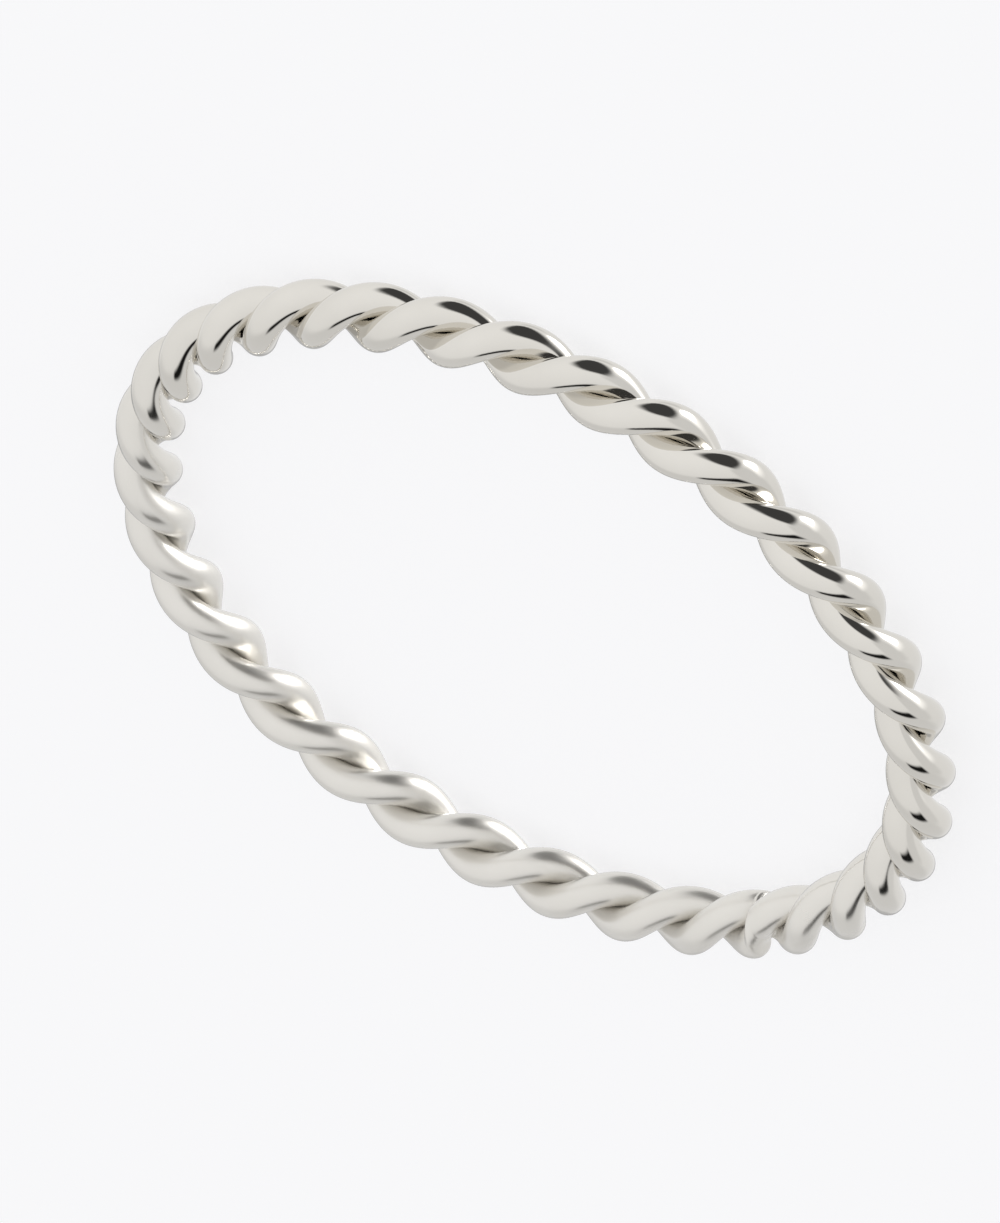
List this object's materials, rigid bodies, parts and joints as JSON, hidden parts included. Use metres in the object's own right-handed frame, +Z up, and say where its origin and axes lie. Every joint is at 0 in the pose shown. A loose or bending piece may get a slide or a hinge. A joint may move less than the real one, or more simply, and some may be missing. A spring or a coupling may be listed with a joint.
{
  "type": "twisted rope finger ring",
  "caption": "Plain finger ring of round polished wires laid round each other like a rope and soldered into a closed band, lying on its side.",
  "frame": {"origin": "on the surface that the ring lies on, under the middle of the ring", "axes": "+Z up along the axis of the finger, +X towards the soldered seam"},
  "size_m": [0.0202, 0.0202, 0.0015],
  "materials": {
    "white_gold": "high polish on warm white gold, with the fine haze and hairlines of wear"
  },
  "bodies": {
    "root": {"strand_a": "white_gold", "strand_b": "white_gold"}
  },
  "joints": []
}
